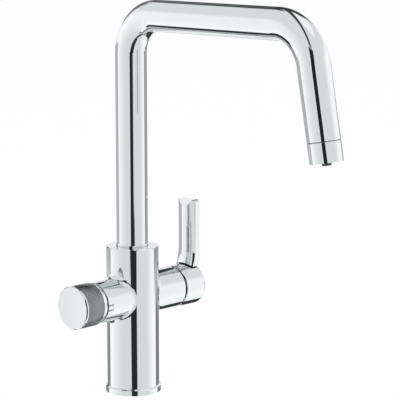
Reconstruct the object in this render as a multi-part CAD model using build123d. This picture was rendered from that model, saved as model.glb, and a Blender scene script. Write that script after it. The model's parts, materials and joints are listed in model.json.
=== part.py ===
from build123d import *
import math
import os

# A filtered water kitchen tap, in millimetres, +Z up.
# The origin is the centre of the base flange's underside, on the worktop.
# The lever's arm points along +X, the filter knob's arm along -X and the spout along -Y.

# Spout
tube_diameter = 28.0
tube_wall = 1.4
top_run_height = 337.5
top_run_length = 202.5
riser_bend_radius = 34.5
outlet_bend_radius = 38.5
leg_lean = 10.5
leg_length = 79.0
sleeve_length = 17.0
sleeve_wall = 1.9
sleeve_edge = 0.4
sleeve_spigot_length = 10.0
sleeve_spigot_wall = 1.3
filtered_tube_diameter = 7.0
filtered_tube_wall = 0.8
nozzle_diameter = 8.0
nozzle_bore = 4.4
nozzle_stand_out = 2.4
nozzle_length = 20.0
nozzle_edge = 0.5
jet_plate_length = 13.0
jet_plate_recess = 0.8
jet_count = 12
jet_diameter = 2.2

# Body and base
body_diameter = 46.7
body_height = 132.0
body_edge = 0.6
flange_diameter = 49.7
flange_height = 5.4
flange_edge = 0.8
gasket_inner_diameter = 38.0
gasket_width = 4.0
gasket_thickness = 1.5

# Fixing under the worktop
shank_diameter = 33.0
shank_bore = 27.6
shank_end_depth = 62.0
shank_edge = 1.0
shank_top_height = 29.0
worktop_thickness = 30.0
deck_gasket_thickness = 3.0
washer_diameter = 56.0
washer_thickness = 2.0
nut_across_flats = 41.0
nut_height = 9.0
nut_face_margin = 0.5

# Hose manifold
manifold_height = 8.0
manifold_seal_thickness = 1.0
manifold_seal_margin = 0.5
socket_mouth_depth = 12.0
socket_diameter = 10.0
socket_wall = 1.2
socket_depth = 12.0
socket_circle_radius = 7.2
waterway_diameter = 5.0
mixed_channel_distance = 4.0
filtered_channel_diameter = 3.4
filtered_channel_offset = 4.2

# Spout foot, heights above the floor of its bore
bore_depth = 28.0
foot_floor_gap = 0.5
foot_height = 22.0
foot_spigot_height = 14.0
lower_glide_ring_low = 1.4
upper_glide_ring_low = 18.6
glide_ring_height = 2.0
glide_ring_width = 1.1
glide_ring_split = 8.0
lower_seal_height = 5.0
upper_seal_height = 11.0
seal_thickness = 2.3
filtered_ring_height = 8.0
filtered_ring_width = 2.4
filtered_ring_depth = 1.4
stop_groove_height = 15.3
stop_groove_width = 3.2
stop_groove_depth = 1.6
swivel_half_range = 75.0
stop_margin = 8.0
foot_channel_diameter = 5.2
foot_channel_circle_radius = 8.0
foot_port_diameter = 2.2

# Grub screw in the back of the body
spout_screw_diameter = 5.0
spout_screw_tip_diameter = 2.8
spout_screw_recess = 0.8
spout_screw_tip_gap = 0.3
spout_screw_key = 2.5
spout_screw_key_depth = 2.5

# Valve arms
valve_depth = 45.3
arm_diameter = 36.6
arm_blend = 5.0
arm_edge = 0.3
right_arm_end = 50.0
left_arm_end = 47.3

# Mixing cartridge, distances from the body's centre
cartridge_bore = 29.2
cartridge_floor = 10.0
port_seal_thickness = 0.8
port_seal_width = 1.4
port_seal_set_back = 0.1
cartridge_base_thickness = 3.2
port_offset = 6.24
mixed_port_offset = 7.0
mixed_port_diameter = 6.0
cartridge_diameter = 28.6
cartridge_wall = 1.9
cartridge_end = 42.0
cartridge_end_wall = 2.0
disc_thickness = 3.5
mixing_disc_diameter = 17.4
mixing_disc_thickness = 3.0
mixing_pocket_width = 9.0
mixing_pocket_depth = 1.6
carrier_height = 6.5
carrier_half_width = 8.0
carrier_pocket_depth = 3.5
rotor_start = 29.0
rotor_neck_diameter = 20.0
rotor_end = 46.5
rotor_rail_start = 21.5
rotor_slot_width = 8.5
lift_range = 22.0
pivot_distance = 36.0
pin_diameter = 3.0
pin_length = 22.0
pin_fit = 0.01
cartridge_nut_bore = 21.6
cartridge_nut_length = 5.0
cartridge_nut_slot = 3.0

# Lever
stem_size = 8.0
stem_start = 30.5
stem_end = 69.0
stem_edge = 0.5
stem_ball_diameter = 6.0
stem_ball_distance = 27.0
stem_neck_diameter = 4.8
dome_wall = 1.2
dome_set_in = 0.7
dome_hole_diameter = 25.8
dome_skirt_length = 4.5
dome_skirt_wall = 1.0
dome_skirt_overlap = 0.4
cap_diameter = 38.0
cap_wall = 1.3
cap_end = 76.2
cap_end_wall = 3.8
cap_end_rounding = 3.0
cap_seam = 2.0
boss_diameter = 15.0
boss_start = 61.5
stem_socket_end = 70.0
blade_length = 61.9
blade_set_in = 0.2
blade_width = 21.2
blade_edge_thickness = 5.6
blade_crown = 4.0
blade_flare = 3.8
blade_flare_height = 18.0
blade_skirt = 2.6
blade_groove = 1.2
blade_bevel_height = 6.0
blade_bevel_depth = 2.0
blade_corner_radius = 3.5
blade_outer_tuck = 2.4
blade_outer_tuck_height = 9.0
blade_stations = 6
blade_neck_width = 13.0
lever_screw_diameter = 4.0
lever_screw_length = 5.5
lever_screw_key = 2.0
lever_screw_distance = 66.0
lever_plug_diameter = 6.4
lever_plug_seat = 0.4

# Filter valve, distances from the body's centre
filter_floor = 12.0
filter_bore = 21.1
filter_bore_end = 36.0
filter_counterbore = 29.2
filter_seal_thickness = 1.5
filter_seal_width = 2.8
filter_valve_wall = 1.9
filter_disc_chamber_end = 24.0
filter_hex_across_flats = 24.0
filter_hex_length = 5.0
filter_neck_diameter = 17.0
filter_neck_end = 47.0
filter_window_distance = 18.6
filter_window_diameter = 3.4
filter_disc_diameter = 17.0
filter_disc_thickness = 3.0
filter_disc_set_back = 0.5
filter_port_diameter = 5.0
filter_port_offset = 4.0
spindle_diameter = 9.0
spindle_driver_diameter = 16.6
spindle_spline_diameter = 8.0
spindle_spline_start = 48.0
spindle_end = 60.0
spindle_flat = 3.4

# Filter knob
knob_diameter = 38.0
knob_end = 73.6
grip_length = 18.9
back_ring_length = 4.5
back_ring_taper = 1.5
grip_wall = 1.0
rib_count = 90
rib_height = 0.2
knob_core_wall = 1.6
face_cap_thickness = 2.2
face_cap_edge = 0.8
face_cap_dish = 0.5
face_spigot_length = 3.4
face_spigot_wall = 1.5
insert_hub_diameter = 16.0
insert_hub_start = 50.8
insert_web_start = 60.4
insert_end = 64.0
knob_screw_diameter = 3.2
knob_screw_head_diameter = 7.0
knob_screw_head_height = 2.6
knob_screw_reach = 52.0
knob_screw_fit = 0.02
knob_screw_slot = 1.0

# Clearances
running_clearance = 0.05
bore_clearance = 0.4
seat_clearance = 0.05
disc_gap = 0.02

# How far a cut reaches past the metal
overrun = 1.0

# Radii that several pieces share
tube_radius = tube_diameter / 2
tube_bore_radius = tube_radius - tube_wall
body_radius = body_diameter / 2
arm_radius = arm_diameter / 2
shank_radius = shank_diameter / 2
foot_bore_radius = tube_radius + bore_clearance
foot_bore_floor = body_height - bore_depth
cartridge_radius = cartridge_diameter / 2
cartridge_inner_radius = cartridge_radius - cartridge_wall
knob_radius = knob_diameter / 2
valve_height = body_height - valve_depth
cap_radius = cap_diameter / 2
waterway_radius = waterway_diameter / 2
filtered_tube_radius = filtered_tube_diameter / 2


# A round bar about Z between two heights
def rod(radius, low, high):
    bar = Cylinder(radius, high - low, align=(Align.CENTER, Align.CENTER, Align.MIN))
    return Pos(0, 0, low) * bar


# A round tube about Z between two heights
def pipe(outer_radius, inner_radius, low, high):
    return rod(outer_radius, low, high) - rod(inner_radius, low, high)


# A box given by its lowest and highest corners
def block(low_corner, high_corner):
    sizes = [high - low for low, high in zip(low_corner, high_corner)]
    return Pos(*low_corner) * Box(*sizes, align=(Align.MIN, Align.MIN, Align.MIN))


# A part of a ring about Z, centred on an angle from +X
def arc_ring(outer_radius, inner_radius, low, high, middle_angle, span):
    section = Plane.XZ * Pos((outer_radius + inner_radius) / 2, (low + high) / 2)
    section = section * Rectangle(outer_radius - inner_radius, high - low)
    ring = revolve(section, Axis.Z, span)
    return Rot(0, 0, middle_angle - span / 2) * ring


# A hexagonal bar about Z between two heights
def hex_bar(across_flats, low, high):
    outline = RegularPolygon(across_flats / 2, 6, major_radius=False)
    return Pos(0, 0, low) * extrude(outline, high - low)


# Stands a piece made about Z on the lever's arm: its Z runs along +X
def on_right_arm(piece):
    return Pos(0, 0, valve_height) * Rot(0, 90, 0) * piece


# Stands a piece made about Z on the knob's arm: its Z runs along -X
def on_left_arm(piece):
    return Pos(0, 0, valve_height) * Rot(0, -90, 0) * piece


# A round bar along X at the valves' height, moved aside in Y and up
def cross_rod(radius, start, end, aside=0.0, up=0.0):
    bar = Rot(0, 90, 0) * rod(radius, 0, end - start)
    return Pos(start, aside, valve_height + up) * bar


leg_tilt = math.radians(leg_lean)
leg_direction = Vector(0, -math.sin(leg_tilt), -math.cos(leg_tilt))
outlet_turn = math.radians(90 - leg_lean)
leg_from_corner = outlet_bend_radius * math.tan(outlet_turn / 2) + leg_length
outlet_corner = Vector(0, -top_run_length, top_run_height)
outlet_end = outlet_corner + leg_direction * leg_from_corner


# The centre line of the spout from a height in the body to a distance short of the outlet's end
def spout_line(start_height, short_of_end):
    corners = [
        Vector(0, 0, start_height),
        Vector(0, 0, top_run_height),
        outlet_corner,
        outlet_end - leg_direction * short_of_end,
    ]
    return FilletPolyline(*corners, radius=[riser_bend_radius, outlet_bend_radius])


# A solid round bar along the spout's centre line
def spout_bar(radius, start_height, short_of_end):
    line = spout_line(start_height, short_of_end)
    return sweep(Pos(0, 0, start_height) * Circle(radius), path=line)


# Puts a piece made about Z on the leg: its zero is the outlet's end and its Z points out of it
def on_leg(piece):
    frame = Plane(origin=outlet_end, x_dir=(1, 0, 0), z_dir=leg_direction)
    return frame.location * piece


tube_start = foot_bore_floor + foot_height
spout_spigot_top = tube_start + foot_spigot_height


def make_spout_tube():
    outer = spout_bar(tube_radius, tube_start, sleeve_length)
    return outer - spout_bar(tube_bore_radius, tube_start, sleeve_length)


# Seals and glide rings lie in grooves. The filtered water enters through a ring between the seals.
def make_spout_foot():
    floor = foot_bore_floor
    foot = rod(tube_radius, floor + foot_floor_gap, tube_start)
    foot += rod(tube_bore_radius - seat_clearance, tube_start, spout_spigot_top)
    outside = foot_bore_radius + overrun
    for low in (lower_glide_ring_low, upper_glide_ring_low):
        groove_floor = foot_bore_radius - running_clearance - glide_ring_width - seat_clearance
        low_face = floor + low - seat_clearance
        high_face = floor + low + glide_ring_height + seat_clearance
        foot -= pipe(outside, groove_floor, low_face, high_face)
    for middle in (lower_seal_height, upper_seal_height):
        groove_floor = foot_bore_radius - running_clearance - seal_thickness - seat_clearance
        half_width = seal_thickness / 2 + 3 * seat_clearance
        foot -= pipe(outside, groove_floor, floor + middle - half_width, floor + middle + half_width)
    ring_middle = floor + filtered_ring_height
    ring_half = filtered_ring_width / 2
    ring_floor = tube_radius - filtered_ring_depth
    foot -= pipe(outside, ring_floor, ring_middle - ring_half, ring_middle + ring_half)
    stop_middle = floor + stop_groove_height
    stop_half = stop_groove_width / 2
    stop_span = 2 * (swivel_half_range + stop_margin)
    stop_floor = tube_radius - stop_groove_depth
    foot -= arc_ring(outside, stop_floor, stop_middle - stop_half, stop_middle + stop_half, 90, stop_span)
    for angle in (45, 135, 225, 315):
        channel = rod(foot_channel_diameter / 2, floor, spout_spigot_top)
        foot -= Rot(0, 0, angle) * Pos(foot_channel_circle_radius, 0, 0) * channel
    foot -= rod(filtered_tube_radius + seat_clearance, ring_middle - ring_half, spout_spigot_top)
    port = Rot(90, 0, 0) * rod(foot_port_diameter / 2, 0, tube_radius)
    foot -= Pos(0, 0, ring_middle) * port
    return foot


def make_spout_o_rings():
    tube_of_ring = seal_thickness / 2
    middle_radius = foot_bore_radius - running_clearance - tube_of_ring
    heights = (lower_seal_height, upper_seal_height)
    rings = [Pos(0, 0, foot_bore_floor + height) * Torus(middle_radius, tube_of_ring) for height in heights]
    return Compound(children=rings)


def make_spout_glide_rings():
    outer = foot_bore_radius - running_clearance
    inner = outer - glide_ring_width
    rings = []
    for height in (lower_glide_ring_low, upper_glide_ring_low):
        low = foot_bore_floor + height
        rings.append(arc_ring(outer, inner, low, low + glide_ring_height, -90, 360 - glide_ring_split))
    return Compound(children=rings)


nozzle_back = nozzle_length - nozzle_stand_out


def make_filtered_water_tube():
    start = foot_bore_floor + filtered_ring_height + filtered_ring_width
    short = nozzle_back - filtered_tube_diameter
    outer = spout_bar(filtered_tube_radius, start, short)
    return outer - spout_bar(filtered_tube_radius - filtered_tube_wall, start, short)


def make_outlet_sleeve():
    sleeve = rod(tube_radius, -sleeve_length, 0)
    sleeve = chamfer(sleeve.edges().sort_by(Axis.Z)[0], sleeve_edge)
    sleeve -= rod(tube_radius - sleeve_wall, -sleeve_length, 0)
    spigot_radius = tube_bore_radius - seat_clearance
    spigot_start = -sleeve_length - sleeve_spigot_length
    spigot_end = -sleeve_length + sleeve_wall
    sleeve += pipe(spigot_radius, spigot_radius - sleeve_spigot_wall, spigot_start, spigot_end)
    return on_leg(sleeve)


# The mains water leaves through a ring of jets round the filtered water's own nozzle
def make_aerator_body():
    outer = tube_radius - sleeve_wall - seat_clearance
    face = -jet_plate_recess
    plate = rod(outer, face - jet_plate_length, face)
    plate -= rod(nozzle_diameter / 2 + seat_clearance, face - jet_plate_length, face)
    jet_circle = (outer + nozzle_diameter / 2) / 2
    jet = rod(jet_diameter / 2, face - jet_plate_length, face)
    for place in PolarLocations(jet_circle, jet_count):
        plate -= place * jet
    return on_leg(plate)


def make_filtered_nozzle():
    nozzle = rod(nozzle_diameter / 2, -nozzle_back, nozzle_stand_out)
    tip_edge = nozzle.edges().sort_by(Axis.Z)[-1]
    nozzle = chamfer(tip_edge, nozzle_edge)
    nozzle -= rod(nozzle_bore / 2, -nozzle_back, nozzle_stand_out)
    socket_end = -nozzle_back + filtered_tube_diameter
    nozzle -= rod(filtered_tube_radius + seat_clearance, -nozzle_back, socket_end)
    return on_leg(nozzle)


def make_base_flange():
    flange = rod(flange_diameter / 2, 0, flange_height)
    flange = chamfer(flange.edges().sort_by(Axis.Z)[-1], flange_edge)
    flange -= rod(shank_radius + bore_clearance, 0, flange_height)
    inner = gasket_inner_diameter / 2
    groove = pipe(inner + gasket_width + seat_clearance, inner - seat_clearance, 0, gasket_thickness)
    return flange - groove


def make_base_gasket():
    inner = gasket_inner_diameter / 2
    return pipe(inner + gasket_width, inner, 0, gasket_thickness)


manifold_top = shank_top_height + manifold_height
manifold_radius = shank_radius - 2 * seat_clearance
hot_place = (port_offset / math.tan(math.radians(60)), port_offset)
cold_place = (hot_place[0], -port_offset)
filtered_place = (-socket_circle_radius, 0.0)
hose_places = (hot_place, cold_place, filtered_place)


def make_threaded_shank():
    shank = rod(shank_radius, -shank_end_depth, shank_top_height)
    shank = chamfer(shank.edges().sort_by(Axis.Z)[0], shank_edge)
    return shank - rod(shank_bore / 2, -shank_end_depth, shank_top_height)


def make_deck_gasket():
    top = -worktop_thickness
    return pipe(washer_diameter / 2, shank_radius + bore_clearance, top - deck_gasket_thickness, top)


def make_clamp_washer():
    top = -worktop_thickness - deck_gasket_thickness
    return pipe(washer_diameter / 2, shank_radius + bore_clearance, top - washer_thickness, top)


def make_clamp_nut():
    top = -worktop_thickness - deck_gasket_thickness - washer_thickness
    face_radius = nut_across_flats / 2 + nut_face_margin
    nut = hex_bar(nut_across_flats, top - nut_height, top)
    dished = Pos(0, 0, top - nut_height) * Cone(
        face_radius,
        face_radius + 2 * nut_height,
        nut_height,
        align=(Align.CENTER, Align.CENTER, Align.MIN),
    )
    nut = nut & dished
    return nut - rod(shank_radius + seat_clearance, top - nut_height, top)


# A plate held up by the shank's end, with a waterway above each hose socket
def make_hose_manifold():
    manifold = rod(manifold_radius, shank_top_height, manifold_top)
    for place in hose_places:
        manifold -= Pos(*place, 0) * rod(waterway_radius, shank_top_height, manifold_top)
    return manifold


# A long socket that hangs from the manifold. A hose's end screws into its mouth, and a waterway leads up.
def hose_socket(place):
    mouth = -socket_mouth_depth
    socket = rod(socket_diameter / 2 + socket_wall, mouth, shank_top_height)
    socket -= rod(socket_diameter / 2, mouth, mouth + socket_depth)
    socket -= rod(waterway_radius, mouth, shank_top_height)
    return Pos(*place, 0) * socket


def make_hot_socket():
    return hose_socket(hot_place)


def make_cold_socket():
    return hose_socket(cold_place)


def make_filtered_socket():
    return hose_socket(filtered_place)


def make_manifold_seal():
    seal_top = manifold_top + manifold_seal_thickness
    seal = rod(manifold_radius, manifold_top, seal_top)
    for x, y in hose_places:
        hole = rod(waterway_radius + manifold_seal_margin, manifold_top, seal_top)
        seal -= Pos(x, y, 0) * hole
    return seal


casting_floor = manifold_top + manifold_seal_thickness
filtered_channel_distance = foot_bore_radius + filtered_channel_offset


# Hot, cold and filtered water rise from the manifold to the valves, and two ways lead on to the spout
def cut_waterways(casting):
    for x, y in (hot_place, cold_place):
        casting -= Pos(x, y, 0) * rod(waterway_radius, casting_floor, valve_height)
        casting -= cross_rod(waterway_radius, x, cartridge_floor, aside=y)
    x = filtered_place[0]
    casting -= Pos(x, 0, 0) * rod(waterway_radius, casting_floor, valve_height)
    casting -= cross_rod(waterway_radius, -filter_floor, x)
    mixed_radius = mixed_port_diameter / 2
    mixed_low = valve_height + mixed_port_offset
    casting -= cross_rod(mixed_radius, mixed_channel_distance, cartridge_floor, up=mixed_port_offset)
    casting -= Pos(mixed_channel_distance, 0, 0) * rod(mixed_radius, mixed_low, foot_bore_floor)
    ring_height = foot_bore_floor + filtered_ring_height
    side_channel = rod(filtered_channel_diameter / 2, valve_height, ring_height)
    casting -= Pos(-filtered_channel_distance, 0, 0) * side_channel
    side_port = cross_rod(foot_port_diameter / 2, -filtered_channel_distance, -foot_bore_radius + overrun)
    casting -= Pos(0, 0, ring_height - valve_height) * side_port
    return casting


# One brass casting: an upright body with an arm to each side, blended where they meet
def make_body_casting():
    casting = rod(body_radius, flange_height, body_height)
    casting += on_right_arm(rod(arm_radius, 0, right_arm_end))
    casting += on_left_arm(rod(arm_radius, 0, left_arm_end))
    junction = casting.edges().filter_by(lambda edge: edge.geom_type not in (GeomType.CIRCLE, GeomType.LINE))
    casting = fillet(junction, arm_blend)
    top_edge = casting.edges().filter_by(GeomType.CIRCLE).sort_by(Axis.Z)[-1]
    casting = chamfer(top_edge, body_edge)
    arm_rims = casting.edges().filter_by(GeomType.CIRCLE).sort_by(Axis.X)
    casting = chamfer([arm_rims[0], arm_rims[-1]], arm_edge)
    casting -= rod(foot_bore_radius, foot_bore_floor, body_height)
    casting -= rod(shank_radius + seat_clearance, flange_height, casting_floor)
    cartridge_mouth = right_arm_end - dome_skirt_length
    casting -= on_right_arm(rod(cartridge_bore / 2, cartridge_floor, right_arm_end))
    casting -= on_right_arm(rod(dome_skirt_radius + seat_clearance, cartridge_mouth, right_arm_end))
    casting -= on_left_arm(rod(filter_bore / 2, filter_floor, left_arm_end))
    casting -= on_left_arm(rod(filter_counterbore / 2, filter_bore_end, left_arm_end))
    casting = cut_waterways(casting)
    screw_hole = Rot(-90, 0, 0) * rod(spout_screw_diameter / 2 + seat_clearance, tube_radius, body_radius)
    return casting - Pos(0, 0, foot_bore_floor + stop_groove_height) * screw_hole


# Grub screw along +Y. Its tip runs in the foot's stop groove.
def make_spout_screw():
    shoulder = foot_bore_radius + seat_clearance
    outer_end = body_radius - spout_screw_recess
    screw = rod(spout_screw_diameter / 2, shoulder, outer_end)
    tip_end = tube_radius - stop_groove_depth + spout_screw_tip_gap
    screw += rod(spout_screw_tip_diameter / 2, tip_end, shoulder)
    screw -= hex_bar(spout_screw_key, outer_end - spout_screw_key_depth, outer_end)
    return Pos(0, 0, foot_bore_floor + stop_groove_height) * Rot(-90, 0, 0) * screw


# Hot, cold and mixed ports, in the arm's own frame, where +Z of the tap is -X
cartridge_ports = (
    (0.0, port_offset, waterway_radius),
    (0.0, -port_offset, waterway_radius),
    (-mixed_port_offset, 0.0, mixed_port_diameter / 2),
)
cartridge_base_start = cartridge_floor + port_seal_thickness
fixed_disc_start = cartridge_base_start + cartridge_base_thickness
fixed_disc_end = fixed_disc_start + disc_thickness
mixing_disc_start = fixed_disc_end + disc_gap
carrier_start = mixing_disc_start + mixing_disc_thickness
carrier_end = carrier_start + carrier_height


def make_cartridge_port_seals():
    seals = []
    for x, y, radius in cartridge_ports:
        inner = radius + port_seal_set_back
        ring = pipe(radius + port_seal_width, inner, cartridge_floor, cartridge_base_start)
        seals.append(on_right_arm(Pos(x, y, 0) * ring))
    return Compound(children=seals)


# A disc across the arm with the three ports through it
def ported_disc(radius, start, end):
    disc = rod(radius, start, end)
    for x, y, port_radius in cartridge_ports:
        disc -= Pos(x, y, 0) * rod(port_radius, start, end)
    return on_right_arm(disc)


def make_cartridge_base():
    return ported_disc(cartridge_radius, cartridge_base_start, fixed_disc_start)


def make_cartridge_fixed_disc():
    return ported_disc(cartridge_inner_radius - seat_clearance, fixed_disc_start, fixed_disc_end)


def make_cartridge_housing():
    housing = pipe(cartridge_radius, cartridge_inner_radius, fixed_disc_start, cartridge_end)
    collar_radius = rotor_neck_diameter / 2 + 2 * running_clearance
    housing += pipe(cartridge_radius, collar_radius, cartridge_end - cartridge_end_wall, cartridge_end)
    return on_right_arm(housing)


# The pocket in its face joins the ports as it slides
def make_mixing_disc():
    disc = rod(mixing_disc_diameter / 2, mixing_disc_start, carrier_start)
    pocket_end = mixing_disc_start + mixing_pocket_depth
    half = mixing_pocket_width / 2
    disc -= block((-half, -half, mixing_disc_start), (half, half, pocket_end))
    return on_right_arm(disc)


def make_disc_carrier():
    radius = mixing_disc_diameter / 2
    carrier = rod(radius, carrier_start, carrier_end)
    low_corner = (-radius, -carrier_half_width, carrier_start)
    carrier &= block(low_corner, (radius, carrier_half_width, carrier_end))
    half = stem_ball_diameter / 2 + 3 * running_clearance
    carrier -= block((-half, -half, carrier_end - carrier_pocket_depth), (half, half, carrier_end))
    return on_right_arm(carrier)


# Turns in the housing. Its rails carry the disc round, and its slot lets the stem tip.
def make_cartridge_rotor():
    radius = cartridge_inner_radius - 2 * running_clearance
    shoulder = cartridge_end - cartridge_end_wall - 2 * running_clearance
    rotor = rod(radius, rotor_start, shoulder)
    rotor += rod(rotor_neck_diameter / 2, shoulder, rotor_end)
    rail = rod(radius, rotor_rail_start, rotor_start)
    half = carrier_half_width + 2 * running_clearance
    rotor += rail - block((-radius, -half, rotor_rail_start), (radius, half, rotor_start))
    lift = math.radians(lift_range)
    half_height = (rotor_end - pivot_distance) * math.tan(lift) + stem_size / 2 / math.cos(lift)
    half_height += 3 * running_clearance
    half_width = rotor_slot_width / 2
    rotor -= block((-half_height, -half_width, rotor_start), (half_height, half_width, rotor_end))
    hole = Rot(90, 0, 0) * rod(pin_diameter / 2 + pin_fit, -pin_length / 2, pin_length / 2)
    rotor -= Pos(0, 0, pivot_distance) * hole
    return on_right_arm(rotor)


def make_stem_pin():
    pin = Rot(90, 0, 0) * rod(pin_diameter / 2, -pin_length / 2, pin_length / 2)
    return Pos(pivot_distance, 0, valve_height) * pin


def make_lever_stem():
    half = stem_size / 2
    stem = block((-half, -half, stem_start), (half, half, stem_end))
    stem = chamfer(stem.edges().filter_by(Axis.Z), stem_edge)
    stem += rod(stem_neck_diameter / 2, stem_ball_distance, stem_start)
    stem += Pos(0, 0, stem_ball_distance) * Sphere(stem_ball_diameter / 2)
    hole = Rot(90, 0, 0) * rod(pin_diameter / 2 + running_clearance, -half, half)
    stem -= Pos(0, 0, pivot_distance) * hole
    return on_right_arm(stem)


def make_cartridge_nut():
    start = cartridge_end
    end = cartridge_end + cartridge_nut_length
    outer = cartridge_bore / 2 - seat_clearance
    nut = pipe(outer, cartridge_nut_bore / 2, start, end)
    half = cartridge_nut_slot / 2
    slot = block((0, -half, end - half), (outer + overrun, half, end))
    for angle in (0, 90, 180, 270):
        nut -= Rot(0, 0, angle) * slot
    return on_right_arm(nut)


# The dome is a ball round the stem's pivot, so the lever's cap clears it at every tilt
dome_radius = math.hypot(right_arm_end - pivot_distance, arm_radius - dome_set_in)
dome_mouth_radius = math.sqrt((dome_radius - dome_wall) ** 2 - (right_arm_end - pivot_distance) ** 2)
dome_skirt_radius = dome_mouth_radius + dome_skirt_overlap


def make_cartridge_dome():
    shell = Sphere(dome_radius) - Sphere(dome_radius - dome_wall)
    shell = Pos(0, 0, pivot_distance) * shell
    shell &= rod(arm_radius, right_arm_end, pivot_distance + dome_radius)
    skirt_start = right_arm_end - dome_skirt_length
    skirt_inner = dome_skirt_radius - dome_skirt_wall
    shell += pipe(dome_skirt_radius, skirt_inner, skirt_start, right_arm_end + dome_wall / 2)
    shell -= rod(dome_hole_diameter / 2, right_arm_end, pivot_distance + dome_radius)
    return on_right_arm(shell)


cap_start = right_arm_end + cap_seam
cap_inner_radius = cap_radius - cap_wall
cap_cavity_end = cap_end - cap_end_wall
cap_top = valve_height + cap_radius
blade_base = cap_top - blade_skirt
blade_top = blade_base + blade_length
blade_outer = cap_end - blade_set_in
blade_edge = blade_outer - blade_edge_thickness
blade_crest = blade_edge - blade_crown


# How far a face has bowed out at a height above the blade's base, along an arc that ends upright
def bow(height, bow_height, bow_depth):
    radius = (bow_height ** 2 + bow_depth ** 2) / (2 * bow_depth)
    below = max(bow_height - height, 0)
    return radius - math.sqrt(radius ** 2 - below ** 2)


# Section of the blade at a height above its base: crowned towards the body and flat outside
def blade_section(height):
    half = blade_width / 2
    flare = bow(height, blade_flare_height, blade_flare)
    outer = blade_outer - bow(height, blade_outer_tuck_height, blade_outer_tuck)
    edge = blade_edge - flare
    outline = ThreePointArc((edge, half), (blade_crest - flare, 0), (edge, -half))
    outline += Polyline((edge, -half), (outer, -half), (outer, half), (edge, half))
    return Pos(0, 0, blade_base + height) * make_face(outline)


# The lower stretch flares, the upper one is straight, and a bevel thins the top
def make_blade():
    heights = [blade_flare_height * station / blade_stations for station in range(blade_stations + 1)]
    upper = extrude(blade_section(blade_flare_height), blade_length - blade_flare_height)
    top_corners = upper.edges().filter_by(Axis.X).sort_by(Axis.Z)[-2:]
    upper = fillet(top_corners, blade_corner_radius)
    bevel = Polyline(
        (blade_crest, blade_top - blade_bevel_height),
        (blade_crest + blade_bevel_depth, blade_top),
        (blade_crest, blade_top),
        close=True,
    )
    upper -= extrude(Plane.XZ * make_face(bevel), blade_width, both=True)
    blade = loft([blade_section(height) for height in heights]) + upper
    return blade - on_right_arm(rod(cap_radius + blade_groove, cap_start, cap_end))


# Cap, blade and stem socket in one piece. The cap is open towards the arm, and a groove runs round a neck
# between the blade and the cap.
def make_lever_handle():
    cap = rod(cap_radius, cap_start, cap_end)
    cap = fillet(cap.edges().sort_by(Axis.Z)[-1], cap_end_rounding)
    handle = on_right_arm(cap) + make_blade()
    neck_half = blade_neck_width / 2
    neck_low = (blade_edge - blade_flare, -neck_half, cap_top - cap_wall)
    neck_high = (blade_outer - blade_outer_tuck, neck_half, cap_top + 2 * blade_groove)
    handle += block(neck_low, neck_high)
    cavity = rod(cap_inner_radius, cap_start, cap_cavity_end)
    cavity -= rod(boss_diameter / 2, boss_start, cap_cavity_end)
    handle -= on_right_arm(cavity)
    socket_half = stem_size / 2 + seat_clearance
    socket_low = (boss_start, -socket_half, valve_height - socket_half)
    handle -= block(socket_low, (stem_socket_end, socket_half, valve_height + socket_half))
    low = valve_height - cap_radius
    screw_hole = rod(lever_screw_diameter / 2 + seat_clearance, low, valve_height)
    handle -= Pos(lever_screw_distance, 0, 0) * screw_hole
    access_end = valve_height - boss_diameter / 2
    access_hole = rod(lever_plug_diameter / 2 + seat_clearance, low, access_end)
    return handle - Pos(lever_screw_distance, 0, 0) * access_hole


def make_lever_screw():
    top = valve_height - stem_size / 2
    low = top - lever_screw_length
    screw = rod(lever_screw_diameter / 2, low, top)
    screw -= hex_bar(lever_screw_key, low, low + lever_screw_key)
    return Pos(lever_screw_distance, 0, 0) * screw


# Follows the round of the cap
def make_lever_plug():
    top = valve_height - cap_inner_radius + overrun
    plug = rod(lever_plug_diameter / 2, valve_height - cap_radius, top)
    plug = Pos(lever_screw_distance, 0, 0) * plug
    skin = on_right_arm(pipe(cap_radius, cap_inner_radius - lever_plug_seat, cap_start, cap_end))
    return plug & skin


filter_valve_start = filter_floor + filter_seal_thickness
filter_valve_radius = filter_bore / 2 - seat_clearance
filter_disc_start = filter_valve_start + filter_disc_set_back
turning_disc_start = filter_disc_start + filter_disc_thickness + disc_gap
spindle_start = turning_disc_start + filter_disc_thickness


def make_filter_valve_seal():
    outer = filter_valve_radius - seat_clearance
    return on_left_arm(pipe(outer, outer - filter_seal_width, filter_floor, filter_valve_start))


# Brass headpart: disc chamber, side windows, hexagon and neck
def make_filter_valve_body():
    chamber_radius = filter_valve_radius - filter_valve_wall
    body = rod(filter_valve_radius, filter_valve_start, filter_bore_end)
    hex_end = filter_bore_end + filter_hex_length
    body += hex_bar(filter_hex_across_flats, filter_bore_end, hex_end)
    body += rod(filter_neck_diameter / 2, hex_end, filter_neck_end)
    body -= rod(chamber_radius, filter_valve_start, filter_disc_chamber_end)
    body -= rod(spindle_diameter / 2 + running_clearance, filter_valve_start, filter_neck_end)
    window = rod(filter_window_diameter / 2, chamber_radius - overrun, filter_valve_radius + overrun)
    window = Rot(90, 0, 0) * window
    for angle in (0, 90, 180, 270):
        body -= Pos(0, 0, filter_window_distance) * Rot(0, 0, angle) * window
    return on_left_arm(body)


# A ceramic disc with two ports, one each side of its centre
def filter_disc(start):
    disc = rod(filter_disc_diameter / 2, start, start + filter_disc_thickness)
    port = rod(filter_port_diameter / 2, start, start + filter_disc_thickness)
    for side in (-1, 1):
        disc -= Pos(0, side * filter_port_offset, 0) * port
    return disc


def make_filter_fixed_disc():
    return on_left_arm(filter_disc(filter_disc_start))


# Closed at rest: its ports stand a quarter turn from the fixed disc's
def make_filter_turning_disc():
    return on_left_arm(Rot(0, 0, 90) * filter_disc(turning_disc_start))


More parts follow.
